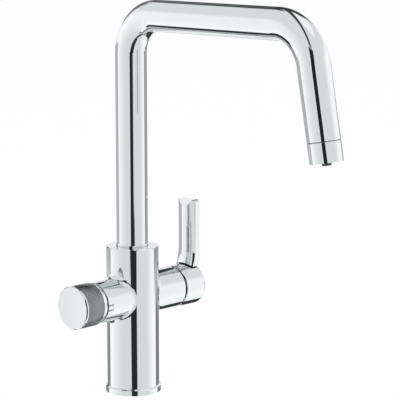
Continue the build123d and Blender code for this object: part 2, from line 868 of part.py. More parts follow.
def make_filter_spindle():
    driver_end = filter_disc_chamber_end - 2 * running_clearance
    spindle = rod(spindle_driver_diameter / 2, spindle_start, driver_end)
    spindle += rod(spindle_diameter / 2, driver_end, spindle_spline_start)
    spindle += rod(spindle_spline_diameter / 2, spindle_spline_start, spindle_end)
    far = spindle_spline_diameter
    for side in (0, 180):
        flat = block((-far, spindle_flat, spindle_spline_start), (far, far, spindle_end))
        spindle -= Rot(0, 0, side) * flat
    spindle -= rod(knob_screw_diameter / 2 + knob_screw_fit, knob_screw_reach, spindle_end)
    return on_left_arm(spindle)


knob_core_radius = knob_radius - rib_height - grip_wall - seat_clearance
knob_core_inner_radius = knob_core_radius - knob_core_wall
face_cap_start = knob_end - face_cap_thickness
grip_start = face_cap_start - grip_length
knob_start = grip_start - back_ring_length


# Plastic hub with a web, keyed on the spindle's flats
def make_knob_insert():
    hub = rod(insert_hub_diameter / 2, insert_hub_start, insert_end)
    hub += rod(knob_core_inner_radius - seat_clearance, insert_web_start, insert_end)
    bore = rod(spindle_spline_diameter / 2 + seat_clearance, insert_hub_start, spindle_end + seat_clearance)
    flat = spindle_flat + seat_clearance
    far = spindle_spline_diameter
    bore &= block((-far, -flat, insert_hub_start), (far, flat, insert_end))
    hub -= bore
    hub -= rod(knob_screw_diameter / 2 + seat_clearance, insert_hub_start, insert_end)
    return on_left_arm(hub)


def make_knob_screw():
    screw = rod(knob_screw_diameter / 2, knob_screw_reach, insert_end)
    head_end = insert_end + knob_screw_head_height
    screw += rod(knob_screw_head_diameter / 2, insert_end, head_end)
    far = knob_screw_head_diameter
    half = knob_screw_slot / 2
    slot = block((-far, -half, head_end - knob_screw_slot), (far, half, head_end))
    return on_left_arm(screw - slot)


# The ring behind the grip narrows towards the arm
def make_filter_knob():
    core = rod(knob_core_radius, knob_start, face_cap_start)
    back_ring = Cone(
        knob_radius - back_ring_taper,
        knob_radius,
        back_ring_length,
        align=(Align.CENTER, Align.CENTER, Align.MIN),
    )
    core += Pos(0, 0, knob_start) * back_ring
    core -= rod(knob_core_inner_radius, knob_start, face_cap_start)
    return on_left_arm(core)


# Fine ribs all round, from one point on each crest and one in each valley
def make_knob_grip_ring():
    steps = 2 * rib_count
    points = []
    for step in range(steps):
        radius = knob_radius - rib_height * (step % 2)
        angle = math.tau * step / steps
        points.append((radius * math.cos(angle), radius * math.sin(angle)))
    outline = make_face(Polyline(*points, close=True))
    ring = Pos(0, 0, grip_start) * extrude(outline, grip_length)
    ring -= rod(knob_core_radius + seat_clearance, grip_start, face_cap_start)
    return on_left_arm(ring)


def make_knob_face_cap():
    cap = rod(knob_radius, face_cap_start, knob_end)
    cap = chamfer(cap.edges().sort_by(Axis.Z)[-1], face_cap_edge)
    dish_rim = knob_radius - 2 * face_cap_edge
    ball_radius = (dish_rim ** 2 + face_cap_dish ** 2) / (2 * face_cap_dish)
    cap -= Pos(0, 0, knob_end + ball_radius - face_cap_dish) * Sphere(ball_radius)
    spigot = knob_core_inner_radius - seat_clearance
    cap += pipe(spigot, spigot - face_spigot_wall, face_cap_start - face_spigot_length, face_cap_start)
    return on_left_arm(cap)


makers = {
    "body_casting": make_body_casting,
    "base_flange": make_base_flange,
    "base_gasket": make_base_gasket,
    "threaded_shank": make_threaded_shank,
    "deck_gasket": make_deck_gasket,
    "clamp_washer": make_clamp_washer,
    "clamp_nut": make_clamp_nut,
    "hose_manifold": make_hose_manifold,
    "hot_socket": make_hot_socket,
    "cold_socket": make_cold_socket,
    "filtered_socket": make_filtered_socket,
    "manifold_seal": make_manifold_seal,
    "spout_screw": make_spout_screw,
    "spout_tube": make_spout_tube,
    "spout_foot": make_spout_foot,
    "spout_o_rings": make_spout_o_rings,
    "spout_glide_rings": make_spout_glide_rings,
    "filtered_water_tube": make_filtered_water_tube,
    "outlet_sleeve": make_outlet_sleeve,
    "aerator_body": make_aerator_body,
    "filtered_nozzle": make_filtered_nozzle,
    "filter_valve_body": make_filter_valve_body,
    "filter_valve_seal": make_filter_valve_seal,
    "filter_fixed_disc": make_filter_fixed_disc,
    "filter_turning_disc": make_filter_turning_disc,
    "filter_spindle": make_filter_spindle,
    "knob_insert": make_knob_insert,
    "knob_screw": make_knob_screw,
    "filter_knob": make_filter_knob,
    "knob_grip_ring": make_knob_grip_ring,
    "knob_face_cap": make_knob_face_cap,
    "cartridge_port_seals": make_cartridge_port_seals,
    "cartridge_base": make_cartridge_base,
    "cartridge_housing": make_cartridge_housing,
    "cartridge_fixed_disc": make_cartridge_fixed_disc,
    "mixing_disc": make_mixing_disc,
    "disc_carrier": make_disc_carrier,
    "cartridge_rotor": make_cartridge_rotor,
    "stem_pin": make_stem_pin,
    "lever_stem": make_lever_stem,
    "cartridge_nut": make_cartridge_nut,
    "cartridge_dome": make_cartridge_dome,
    "lever_handle": make_lever_handle,
    "lever_screw": make_lever_screw,
    "lever_plug": make_lever_plug,
}

os.makedirs("parts", exist_ok=True)
for name, maker in makers.items():
    export_step(maker(), f"parts/{name}.step")
    print(name)
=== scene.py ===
import bpy
import bmesh
import json
import math
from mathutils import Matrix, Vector


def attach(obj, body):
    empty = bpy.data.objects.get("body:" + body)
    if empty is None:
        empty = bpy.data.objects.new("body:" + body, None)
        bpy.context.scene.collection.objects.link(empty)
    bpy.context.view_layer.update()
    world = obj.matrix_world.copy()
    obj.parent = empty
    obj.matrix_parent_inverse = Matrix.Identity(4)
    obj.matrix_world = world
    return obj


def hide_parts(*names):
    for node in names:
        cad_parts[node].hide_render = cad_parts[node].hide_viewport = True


# A filtered water kitchen tap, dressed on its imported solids. Metres, +Z up, origin on the worktop.

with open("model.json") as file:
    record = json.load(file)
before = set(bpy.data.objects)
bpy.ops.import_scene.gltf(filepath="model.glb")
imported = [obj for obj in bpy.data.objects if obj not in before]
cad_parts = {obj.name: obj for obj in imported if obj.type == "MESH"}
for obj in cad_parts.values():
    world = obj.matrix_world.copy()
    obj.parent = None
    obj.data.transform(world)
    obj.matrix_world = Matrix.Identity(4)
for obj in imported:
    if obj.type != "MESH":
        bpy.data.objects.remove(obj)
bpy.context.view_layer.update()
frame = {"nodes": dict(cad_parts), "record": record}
nodes = frame["nodes"]
print("tap: frame loaded,", len(nodes), "nodes")


# short ways to build shader trees

def newMaterial(name):
    material = bpy.data.materials.new(name)
    material.use_nodes = True
    tree = material.node_tree
    shader = tree.nodes["Principled BSDF"]
    return material, tree, shader


def addNode(tree, kind, **settings):
    node = tree.nodes.new(kind)
    for key, value in settings.items():
        setattr(node, key, value)
    return node


def noiseFrom(tree, scale, detail=2.0, stretch=(1, 1, 1)):
    # noise on the piece's own coordinates, stretched where the finish runs one way
    place = addNode(tree, "ShaderNodeTexCoord")
    mapping = addNode(tree, "ShaderNodeMapping")
    mapping.inputs["Scale"].default_value = stretch
    noise = addNode(tree, "ShaderNodeTexNoise")
    noise.inputs["Scale"].default_value = scale
    noise.inputs["Detail"].default_value = detail
    tree.links.new(place.outputs["Object"], mapping.inputs["Vector"])
    tree.links.new(mapping.outputs["Vector"], noise.inputs["Vector"])
    return noise


noiseRange = (0.3, 0.7)      # the part of 0 to 1 that holds most of a noise


def spread(tree, source, low, high):
    # turns a noise into a small range of roughness
    span = addNode(tree, "ShaderNodeMapRange")
    span.inputs["From Min"].default_value, span.inputs["From Max"].default_value = noiseRange
    span.inputs["To Min"].default_value = low
    span.inputs["To Max"].default_value = high
    tree.links.new(source, span.inputs["Value"])
    return span.outputs["Result"]


def colourBetween(tree, source, first, second):
    mix = addNode(tree, "ShaderNodeMix", data_type="RGBA")
    mix.inputs["A"].default_value = (*first, 1)
    mix.inputs["B"].default_value = (*second, 1)
    tree.links.new(source, mix.inputs["Factor"])
    return mix.outputs["Result"]


def bumpFrom(tree, shader, source, strength, distance):
    bump = addNode(tree, "ShaderNodeBump")
    bump.inputs["Strength"].default_value = strength
    bump.inputs["Distance"].default_value = distance
    tree.links.new(source, bump.inputs["Height"])
    tree.links.new(bump.outputs["Normal"], shader.inputs["Normal"])


# finishes, one for each slot in the record

chromeLook = {
    "tint": (0.700, 0.728, 0.730),
    "tintDeep": (0.672, 0.704, 0.708),
    "roughLow": 0.018,
    "roughHigh": 0.050,
    "smearScale": 55.0,
    "smearDetail": 4.0,
    "rippleScale": 160.0,
    "rippleDetail": 1.0,
    "rippleStrength": 0.12,
    "rippleHeight": 0.000004,
}


def makeChrome(name, look):
    material, tree, shader = newMaterial(name)
    shader.inputs["Metallic"].default_value = 1.0
    smear = noiseFrom(tree, look["smearScale"], look["smearDetail"])
    ripple = noiseFrom(tree, look["rippleScale"], look["rippleDetail"])
    tree.links.new(colourBetween(tree, smear.outputs["Fac"], look["tintDeep"], look["tint"]),
                   shader.inputs["Base Color"])
    tree.links.new(spread(tree, smear.outputs["Fac"], look["roughLow"], look["roughHigh"]),
                   shader.inputs["Roughness"])
    bumpFrom(tree, shader, ripple.outputs["Fac"], look["rippleStrength"], look["rippleHeight"])
    return material


# the grip's chrome is tinted dark all over: painted shade that stands in for the deep grooves between its fine
# ribs
ribbedGrooveShadeLook = dict(chromeLook, tint=(0.262, 0.273, 0.273), tintDeep=(0.232, 0.243, 0.243),
                  roughLow=0.26, roughHigh=0.34)

satinLook = dict(chromeLook, tint=(0.655, 0.680, 0.680), tintDeep=(0.625, 0.652, 0.655),
                 roughLow=0.09, roughHigh=0.13)

metalLooks = {
    "brass": {"light": (0.78, 0.60, 0.33), "dark": (0.62, 0.45, 0.22), "rough": (0.22, 0.38), "turn": 900.0},
    "steel": {"light": (0.66, 0.66, 0.65), "dark": (0.52, 0.52, 0.52), "rough": (0.24, 0.40), "turn": 700.0},
}
latheMarks = {"stretch": (0.05, 0.05, 1.0), "strength": 0.35, "height": 0.00003, "cloudScale": 60.0}


def makeTurnedMetal(name, look):
    # fine lathe marks run round the part, so the noise is stretched flat along Z
    material, tree, shader = newMaterial(name)
    shader.inputs["Metallic"].default_value = 1.0
    marks = noiseFrom(tree, look["turn"], stretch=latheMarks["stretch"])
    cloud = noiseFrom(tree, latheMarks["cloudScale"], detail=3.0)
    tree.links.new(colourBetween(tree, cloud.outputs["Fac"], look["dark"], look["light"]),
                   shader.inputs["Base Color"])
    tree.links.new(spread(tree, marks.outputs["Fac"], *look["rough"]), shader.inputs["Roughness"])
    bumpFrom(tree, shader, marks.outputs["Fac"], latheMarks["strength"], latheMarks["height"])
    return material


softLooks = {
    "rubber": {"light": (0.045, 0.045, 0.046), "dark": (0.022, 0.022, 0.023), "rough": (0.55, 0.75),
               "grain": 900.0, "height": 0.00004},
    "ceramic": {"light": (0.88, 0.86, 0.81), "dark": (0.82, 0.80, 0.75), "rough": (0.20, 0.32),
                "grain": 1500.0, "height": 0.00001},
    "pale_plastic": {"light": (0.80, 0.80, 0.78), "dark": (0.73, 0.73, 0.71), "rough": (0.35, 0.50),
                     "grain": 1100.0, "height": 0.00003},
    "dark_plastic": {"light": (0.120, 0.122, 0.128), "dark": (0.075, 0.076, 0.080), "rough": (0.30, 0.46),
                     "grain": 1200.0, "height": 0.00003},
    "grey_plastic": {"light": (0.62, 0.63, 0.65), "dark": (0.54, 0.55, 0.57), "rough": (0.20, 0.30),
                     "grain": 900.0, "height": 0.00002},
    "clear_plastic": {"light": (0.85, 0.88, 0.90), "dark": (0.76, 0.80, 0.83), "rough": (0.15, 0.25),
                      "grain": 500.0, "height": 0.00001},
}
mouldedSkin = {"cloudScale": 80.0, "grainStrength": 0.5}


def makeMoulded(name, look):
    material, tree, shader = newMaterial(name)
    cloud = noiseFrom(tree, mouldedSkin["cloudScale"], detail=3.0)
    grain = noiseFrom(tree, look["grain"])
    tree.links.new(colourBetween(tree, cloud.outputs["Fac"], look["dark"], look["light"]),
                   shader.inputs["Base Color"])
    tree.links.new(spread(tree, cloud.outputs["Fac"], *look["rough"]), shader.inputs["Roughness"])
    bumpFrom(tree, shader, grain.outputs["Fac"], mouldedSkin["grainStrength"], look["height"])
    return material


finishes = {"chrome": makeChrome("polishedChrome", chromeLook),
            "ribbed_chrome": makeChrome("ribbedChrome", ribbedGrooveShadeLook),
            "satin": makeChrome("satinChrome", satinLook)}
for slotName, look in metalLooks.items():
    finishes[slotName] = makeTurnedMetal(slotName, look)
for slotName, look in softLooks.items():
    finishes[slotName] = makeMoulded(slotName, look)

markLook = {"light": (0.40, 0.41, 0.42), "dark": (0.34, 0.35, 0.36), "rough": (0.35, 0.50),
            "grain": 1500.0, "height": 0.00001}
finishes["mark"] = makeMoulded("etchedMark", markLook)
shadowLook = {"light": (0.050, 0.052, 0.054), "dark": (0.030, 0.031, 0.033), "rough": (0.45, 0.60),
              "grain": 900.0, "height": 0.00001}
finishes["shadow"] = makeMoulded("grooveShadow", shadowLook)
print("tap: finishes made,", len(finishes))

# every solid that stays takes its finish from its slot in the record
slotOf = {part["node"]: part["material_slot"] for part in frame["record"]["subparts"]}
for nodeName, solid in nodes.items():
    solid.data.materials.clear()
    solid.data.materials.append(finishes[slotOf[nodeName]])


# short ways to make pieces and geometry trees

def meshPiece(pieceName, mesh, body, stands, finish):
    piece = bpy.data.objects.new(pieceName, mesh)
    bpy.context.scene.collection.objects.link(piece)
    mesh.materials.clear()
    mesh.materials.append(finish)
    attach(piece, body)
    if stands:
        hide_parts(*stands)
    return piece


def geometryTree(treeName, inputs):
    tree = bpy.data.node_groups.new(treeName, "GeometryNodeTree")
    tree.interface.new_socket("Geometry", in_out="INPUT", socket_type="NodeSocketGeometry")
    for label, kind in inputs.items():
        tree.interface.new_socket(label, in_out="INPUT", socket_type=kind)
    tree.interface.new_socket("Geometry", in_out="OUTPUT", socket_type="NodeSocketGeometry")
    source = tree.nodes.new("NodeGroupInput")
    result = tree.nodes.new("NodeGroupOutput")
    return tree, source, result


def endTree(tree, result, geometry, finish):
    # every tree ends in Realize Instances and Set Material
    real = tree.nodes.new("GeometryNodeRealizeInstances")
    paint = tree.nodes.new("GeometryNodeSetMaterial")
    paint.inputs["Material"].default_value = finish
    tree.links.new(geometry, real.inputs[0])
    tree.links.new(real.outputs[0], paint.inputs["Geometry"])
    tree.links.new(paint.outputs["Geometry"], result.inputs[0])


def runTree(tree, carrierMesh, values):
    # runs the tree on a carrier mesh and hands back a plain mesh
    carrier = bpy.data.objects.new(tree.name + "Carrier", carrierMesh)
    bpy.context.scene.collection.objects.link(carrier)
    modifier = carrier.modifiers.new("tree", "NODES")
    modifier.node_group = tree
    for item in tree.interface.items_tree:
        if item.in_out == "INPUT" and item.name in values:
            modifier[item.identifier] = values[item.name]
    bpy.context.view_layer.update()
    graph = bpy.context.evaluated_depsgraph_get()
    mesh = bpy.data.meshes.new_from_object(carrier.evaluated_get(graph))
    carrier.modifiers.remove(modifier)
    bpy.data.objects.remove(carrier)
    return mesh


mergeDistance = 0.000002


def closeAndSmooth(mesh, sharpDegrees):
    work = bmesh.new()
    work.from_mesh(mesh)
    bmesh.ops.remove_doubles(work, verts=work.verts, dist=mergeDistance)
    bmesh.ops.recalc_face_normals(work, faces=work.faces)
    work.to_mesh(mesh)
    work.free()
    mesh.shade_smooth()
    mesh.set_sharp_from_angle(angle=math.radians(sharpDegrees))
    return mesh


def ringWalls(rings, steps):
    # quads from each ring of points to the next, and from the last ring back to the first
    walls = []
    for ring in range(rings):
        beyond = (ring + 1) % rings
        for s in range(steps):
            t = (s + 1) % steps
            walls.append((ring * steps + s, ring * steps + t, beyond * steps + t, beyond * steps + s))
    return walls


# spout tube: one line with two rounded corners, swept with a circle

spoutTube = {
    "radius": 0.01396,         # a hair inside the solid, so that the whole stays inside its box
    "wall": 0.0014,
    "start": 0.126,            # top of the spout's foot
    "topHeight": 0.3375,
    "topReach": 0.2025,
    "riserBend": 0.0345,
    "outletBend": 0.0385,
    "legLean": 10.5,           # degrees from upright, away from the riser
    "legLength": 0.079,
    "sleeveLength": 0.0175,    # the tube ends a little above the sleeve, which leaves the seam open
    "seamDepth": 0.00045,
    "seamShadow": (0.0182, 0.0166),      # its upper and lower end, measured from the outlet's end
    "riserSide": -0.05,        # y that parts the riser's end from the outlet's
    "sides": 96,
    "bendSteps": 64,
}


def spoutDirection(size):
    lean = math.radians(size["legLean"])
    return Vector((0, -math.sin(lean), -math.cos(lean)))


def outletEnd(size):
    turn = math.radians(90 - size["legLean"])
    run = size["outletBend"] * math.tan(turn / 2) + size["legLength"]
    return Vector((0, -size["topReach"], size["topHeight"])) + spoutDirection(size) * run


def makeSpoutTube(size):
    tree, source, result = geometryTree("sweptSpout", {
        "Outer Radius": "NodeSocketFloat", "Inner Radius": "NodeSocketFloat",
        "Riser Bend": "NodeSocketFloat", "Outlet Bend": "NodeSocketFloat"})
    line = tree.nodes.new("GeometryNodeMeshToCurve")
    rounded = tree.nodes.new("GeometryNodeFilletCurve")
    rounded.mode = "POLY"
    rounded.inputs["Count"].default_value = size["bendSteps"]
    index = tree.nodes.new("GeometryNodeInputIndex")
    isFirst = addNode(tree, "FunctionNodeCompare", data_type="INT", operation="EQUAL")
    isFirst.inputs[3].default_value = 1      # whole-number sockets: 2 is A and 3 is B
    pick = addNode(tree, "GeometryNodeSwitch", input_type="FLOAT")
    tree.links.new(source.outputs["Geometry"], line.inputs["Mesh"])
    tree.links.new(index.outputs[0], isFirst.inputs[2])
    tree.links.new(isFirst.outputs[0], pick.inputs["Switch"])
    tree.links.new(source.outputs["Outlet Bend"], pick.inputs["False"])
    tree.links.new(source.outputs["Riser Bend"], pick.inputs["True"])
    tree.links.new(pick.outputs[0], rounded.inputs["Radius"])
    tree.links.new(line.outputs["Curve"], rounded.inputs["Curve"])
    joined = tree.nodes.new("GeometryNodeJoinGeometry")
    for label in ("Outer Radius", "Inner Radius"):
        ring = addNode(tree, "GeometryNodeCurvePrimitiveCircle")
        ring.inputs["Resolution"].default_value = size["sides"]
        sweep = tree.nodes.new("GeometryNodeCurveToMesh")
        tree.links.new(source.outputs[label], ring.inputs["Radius"])
        tree.links.new(rounded.outputs["Curve"], sweep.inputs["Curve"])
        tree.links.new(ring.outputs["Curve"], sweep.inputs["Profile Curve"])
        tree.links.new(sweep.outputs["Mesh"], joined.inputs["Geometry"])
    endTree(tree, result, joined.outputs["Geometry"], finishes["chrome"])

    end = outletEnd(size) - spoutDirection(size) * size["sleeveLength"]
    corners = [(0, 0, size["start"]), (0, 0, size["topHeight"]),
               (0, -size["topReach"], size["topHeight"]), tuple(end)]
    carrier = bpy.data.meshes.new("spoutLine")
    carrier.from_pydata(corners, [(0, 1), (1, 2), (2, 3)], [])
    mesh = runTree(tree, carrier, {
        "Outer Radius": size["radius"], "Inner Radius": size["radius"] - size["wall"],
        "Riser Bend": size["riserBend"], "Outlet Bend": size["outletBend"]})
    # the two walls are joined by a ring at each end
    work = bmesh.new()
    work.from_mesh(mesh)
    rims = [edge for edge in work.edges if edge.is_boundary]
    for isRiser in (True, False):
        half = [e for e in rims if (e.verts[0].co.y > size["riserSide"]) == isRiser]
        bmesh.ops.bridge_loops(work, edges=half)
    work.to_mesh(mesh)
    work.free()
    return closeAndSmooth(mesh, sharpDegrees=40)


meshPiece("spoutTubeSwept", makeSpoutTube(spoutTube), "spout", ["spout_tube"], finishes["chrome"])


def makeSeamShadow(size):
    # a dark ring at the bottom of the open seam between tube and sleeve
    steps = size["sides"]
    down = spoutDirection(size)
    across = Vector((1, 0, 0))
    upward = down.cross(across)
    end = outletEnd(size)
    outside, inside = size["radius"] - size["seamDepth"], size["radius"] - size["wall"]
    upper, lower = size["seamShadow"]
    points = []
    for along, radius in ((upper, outside), (upper, inside), (lower, inside), (lower, outside)):
        centre = end - down * along
        points += [centre + (across * math.cos(math.tau * s / steps) + upward * math.sin(math.tau * s / steps))
                   * radius for s in range(steps)]
    mesh = bpy.data.meshes.new("sleeveSeam")
    mesh.from_pydata(points, [], ringWalls(4, steps))
    return closeAndSmooth(mesh, sharpDegrees=40)


meshPiece("sleeveSeamShadow", makeSeamShadow(spoutTube), "spout", (), finishes["shadow"])
print("tap: spout tube swept")


# knob grip: one rib, repeated all round a thin sleeve

valveHeight = 0.0867          # the valves' axis over the worktop

knobGrip = {
    "radius": 0.019,
    "ribHeight": 0.0002,
    "ribs": 90,
    "ribShare": 0.92,          # how much of its pitch a rib fills
    "ribSink": 0.0002,         # how deep it stands in the sleeve
    "shoulder": (0.86, 0.82),  # shares of the rib's half width and height
    "crown": (0.45, 0.96),
    "endLift": 0.2,            # share of the height at a rib's two ends
    "outerEnd": 0.0714,        # distance from the body's centre
    "length": 0.0189,
    "innerRadius": 0.0178,
    "edge": 0.0003,
}


def makeKnobGrip(size):
    start = size["outerEnd"] - size["length"]
    root = size["radius"] - size["ribHeight"]
    halfWidth = math.pi * size["radius"] / size["ribs"] * size["ribShare"]
    height, sink = size["ribHeight"], size["ribSink"]
    (shoulder, shoulderLift), (crown, crownLift) = size["shoulder"], size["crown"]
    # one rib: a nearly flat ridge with a softened shoulder, lying along -X at twelve o'clock
    profile = [(-halfWidth, -sink), (-halfWidth * shoulder, height * shoulderLift),
               (-halfWidth * crown, height * crownLift), (0, height), (halfWidth * crown, height * crownLift),
               (halfWidth * shoulder, height * shoulderLift), (halfWidth, -sink)]
    rows = [(start, size["endLift"]), (start + size["edge"], 1.0), (size["outerEnd"] - size["edge"], 1.0),
            (size["outerEnd"], size["endLift"])]
    points, faces = [], []
    for distance, lift in rows:
        points += [(-distance, side, root + up * lift if up > 0 else root + up) for side, up in profile]
    count = len(profile)
    for row in range(len(rows) - 1):
        for step in range(count):
            following = (step + 1) % count
            faces.append((row * count + step, row * count + following,
                          (row + 1) * count + following, (row + 1) * count + step))
    faces += [tuple(range(count)), tuple(reversed(range((len(rows) - 1) * count, len(rows) * count)))]
    rib = bpy.data.meshes.new("gripRib")
    rib.from_pydata(points, [], faces)
    closeAndSmooth(rib, sharpDegrees=50)
    ribObject = bpy.data.objects.new("gripRib", rib)
    bpy.context.scene.collection.objects.link(ribObject)

    tree, source, result = geometryTree("gripRibs", {"Rib": "NodeSocketObject", "Ribs": "NodeSocketInt"})
    spots = tree.nodes.new("GeometryNodeMeshLine")
    spots.mode = "OFFSET"
    index = tree.nodes.new("GeometryNodeInputIndex")
    share = addNode(tree, "ShaderNodeMath", operation="DIVIDE")
    angle = addNode(tree, "ShaderNodeMath", operation="MULTIPLY")
    angle.inputs[1].default_value = math.tau
    turn = tree.nodes.new("ShaderNodeCombineXYZ")
    info = tree.nodes.new("GeometryNodeObjectInfo")
    copies = tree.nodes.new("GeometryNodeInstanceOnPoints")
    joined = tree.nodes.new("GeometryNodeJoinGeometry")
    tree.links.new(source.outputs["Ribs"], spots.inputs["Count"])
    spots.inputs["Offset"].default_value = (0, 0, 0)
    tree.links.new(source.outputs["Rib"], info.inputs["Object"])
    tree.links.new(index.outputs[0], share.inputs[0])
    tree.links.new(source.outputs["Ribs"], share.inputs[1])
    tree.links.new(share.outputs[0], angle.inputs[0])
    tree.links.new(angle.outputs[0], turn.inputs["X"])
    tree.links.new(spots.outputs["Mesh"], copies.inputs["Points"])
    tree.links.new(info.outputs["Geometry"], copies.inputs["Instance"])
    tree.links.new(turn.outputs[0], copies.inputs["Rotation"])
    tree.links.new(source.outputs["Geometry"], joined.inputs["Geometry"])
    tree.links.new(copies.outputs["Instances"], joined.inputs["Geometry"])
    endTree(tree, result, joined.outputs["Geometry"], finishes["ribbed_chrome"])

    # the sleeve under the ribs, two faces to a rib
    sleeve = bpy.data.meshes.new("gripSleeve")
    steps = size["ribs"] * 2
    ring = []
    for distance, radius in ((start, size["innerRadius"]), (start, root), (size["outerEnd"], root),
                             (size["outerEnd"], size["innerRadius"])):
        ring += [(-distance, radius * math.cos(math.tau * s / steps), radius * math.sin(math.tau * s / steps))
                 for s in range(steps)]
    sleeve.from_pydata(ring, [], ringWalls(4, steps))
    closeAndSmooth(sleeve, sharpDegrees=40)
    mesh = runTree(tree, sleeve, {"Rib": ribObject, "Ribs": size["ribs"]})
    bpy.data.objects.remove(ribObject)
    for vertex in mesh.vertices:
        vertex.co.z += valveHeight
    return mesh


meshPiece("knobGripRibs", makeKnobGrip(knobGrip), "knob", ["knob_grip_ring"],
          finishes["ribbed_chrome"])
print("tap: grip ribs placed,", knobGrip["ribs"])


# knob core: a turned sleeve with the smooth ring that shows behind the grip

knobCore = {"outer": 0.0714, "shoulder": 0.0525, "inner": 0.048, "bore": 0.01615, "sleeve": 0.01775,
            "ring": 0.019, "edge": 0.00025, "edgeMiddle": 0.3, "edgeEnd": 0.2, "segments": 160}


def turnAlongX(meshName, outline, height, segments):
    # a closed outline of distances and radii, turned about the valves' axis
    points = []
    for distance, radius in outline:
        points += [(-distance, radius * math.cos(math.tau * s / segments),
                    height + radius * math.sin(math.tau * s / segments)) for s in range(segments)]
    mesh = bpy.data.meshes.new(meshName)
    mesh.from_pydata(points, [], ringWalls(len(outline), segments))
    return closeAndSmooth(mesh, sharpDegrees=30)


def makeKnobCore(size):
    # the ring's outer edge is eased in three steps
    edge = size["edge"]
    middle, end = edge * size["edgeMiddle"], edge * size["edgeEnd"]
    outline = [(size["outer"], size["bore"]), (size["outer"], size["sleeve"]),
               (size["shoulder"], size["sleeve"]), (size["shoulder"], size["ring"] - edge),
               (size["shoulder"] - middle, size["ring"] - middle),
               (size["shoulder"] - edge, size["ring"] - end),
               (size["inner"], size["sleeve"]), (size["inner"], size["bore"])]
    return turnAlongX("knobCoreTurned", outline, valveHeight, size["segments"])


meshPiece("knobCoreTurned", makeKnobCore(knobCore), "knob", ["filter_knob"], finishes["chrome"])


# lever: a thin strip of shadow laid on the wall of the groove round the blade's foot

leverFoot = {
    "capRadius": 0.019,
    "grooveHeight": 0.0012,
    "clear": 0.00005,          # keeps off the cap's own round
    "reach": 1.02,             # takes the groove's upper wall in
    "blade": 0.0635,
    "halfWidth": 0.0112,
    "proud": 0.00004,
}


def makeFootShadow(size):
    solid = nodes["lever_handle"]
    mesh = solid.data.copy()
    mesh.name = "leverFootShadow"
    mesh.transform(solid.matrix_world)
    work = bmesh.new()
    work.from_mesh(mesh)
    bmesh.ops.remove_doubles(work, verts=work.verts, dist=mergeDistance)
    work.normal_update()
    others = []
    for face in work.faces:
        x, y, z = face.calc_center_median()
        fromAxis = math.hypot(y, z - valveHeight)
        overCap = fromAxis - size["capRadius"]
        inGroove = size["clear"] < overCap < size["grooveHeight"] * size["reach"]
        if not (inGroove and x > size["blade"] and abs(y) < size["halfWidth"] and z > valveHeight):
            others.append(face)
    bmesh.ops.delete(work, geom=others, context="FACES")
    for vertex in work.verts:
        vertex.co += vertex.normal * size["proud"]
    work.to_mesh(mesh)
    work.free()
    return mesh


footShadow = meshPiece("leverFootShadow", makeFootShadow(leverFoot), "lever", (), finishes["shadow"])
print("tap: knob core turned, foot shadow", len(footShadow.data.polygons), "faces")

# the knob's face is satin, so that it shows no sharp room
nodes["knob_face_cap"].data.materials.clear()
nodes["knob_face_cap"].data.materials.append(finishes["satin"])


# shank thread: a ridge wound round a plain tube

shankThread = {
    "outer": 0.0165,
    "root": 0.0157,
    "bore": 0.0138,
    "low": -0.062,
    "high": 0.029,
    "threadTop": -0.004,
    "pitch": 0.0015,
    "threadStart": 0.0015,     # over the shank's lower end
    "ridgeShare": 0.85,        # of the thread's depth
    "tipChamfer": (0.0004, 0.0008),
    "shoulderRise": 0.0008,
    "stepsPerTurn": 40,
    "sides": 96,
}


def makeShankThread(size):
    tree, source, result = geometryTree("woundThread", {"Ridge": "NodeSocketFloat"})
    wound = tree.nodes.new("GeometryNodeMeshToCurve")
    profile = addNode(tree, "GeometryNodeCurvePrimitiveCircle")
    profile.inputs["Resolution"].default_value = 4
    sweep = tree.nodes.new("GeometryNodeCurveToMesh")
    sweep.inputs["Fill Caps"].default_value = True
    core = tree.nodes.new("GeometryNodeJoinGeometry")
    tree.links.new(source.outputs["Geometry"], wound.inputs["Mesh"])
    tree.links.new(source.outputs["Ridge"], profile.inputs["Radius"])
    tree.links.new(wound.outputs["Curve"], sweep.inputs["Curve"])
    tree.links.new(profile.outputs["Curve"], sweep.inputs["Profile Curve"])
    tree.links.new(sweep.outputs["Mesh"], core.inputs["Geometry"])
    endTree(tree, result, core.outputs["Geometry"], finishes["brass"])

    ridge = (size["outer"] - size["root"]) * size["ridgeShare"]
    low, high = size["low"] + size["threadStart"], size["threadTop"]
    turns = (high - low) / size["pitch"]
    total = int(turns * size["stepsPerTurn"])
    middle = size["outer"] - ridge
    line = []
    for step in range(total + 1):
        angle = math.tau * step / size["stepsPerTurn"]
        line.append((middle * math.cos(angle), middle * math.sin(angle), low + (high - low) * step / total))
    carrier = bpy.data.meshes.new("threadLine")
    carrier.from_pydata(line, [(s, s + 1) for s in range(total)], [])
    mesh = runTree(tree, carrier, {"Ridge": ridge})

    # the tube that the ridge stands on
    work = bmesh.new()
    work.from_mesh(mesh)
    steps = size["sides"]
    inward, along = size["tipChamfer"]
    outline = [(size["bore"], size["low"]), (size["root"] - inward, size["low"]),
               (size["root"], size["low"] + along), (size["root"], size["threadTop"]),
               (size["outer"], size["threadTop"] + size["shoulderRise"]), (size["outer"], size["high"]),
               (size["bore"], size["high"])]
    loops = []
    for radius, height in outline:
        loops.append([work.verts.new((radius * math.cos(math.tau * s / steps),
                                      radius * math.sin(math.tau * s / steps), height)) for s in range(steps)])
    for loop in range(len(loops)):
        near, far = loops[loop], loops[(loop + 1) % len(loops)]
        for s in range(steps):
            t = (s + 1) % steps
            work.faces.new((near[s], near[t], far[t], far[s]))
    work.to_mesh(mesh)
    work.free()
    return closeAndSmooth(mesh, sharpDegrees=35)


meshPiece("shankThreadWound", makeShankThread(shankThread), "tap_body", ["threaded_shank"],
          finishes["brass"])
print("tap: shank thread wound")


# aerator: a lip round each jet

jetLips = {"count": 12, "circle": 0.008, "hole": 0.0011, "lip": 0.00155, "stand": 0.0004, "recess": 0.0008,
           "sides": 12}


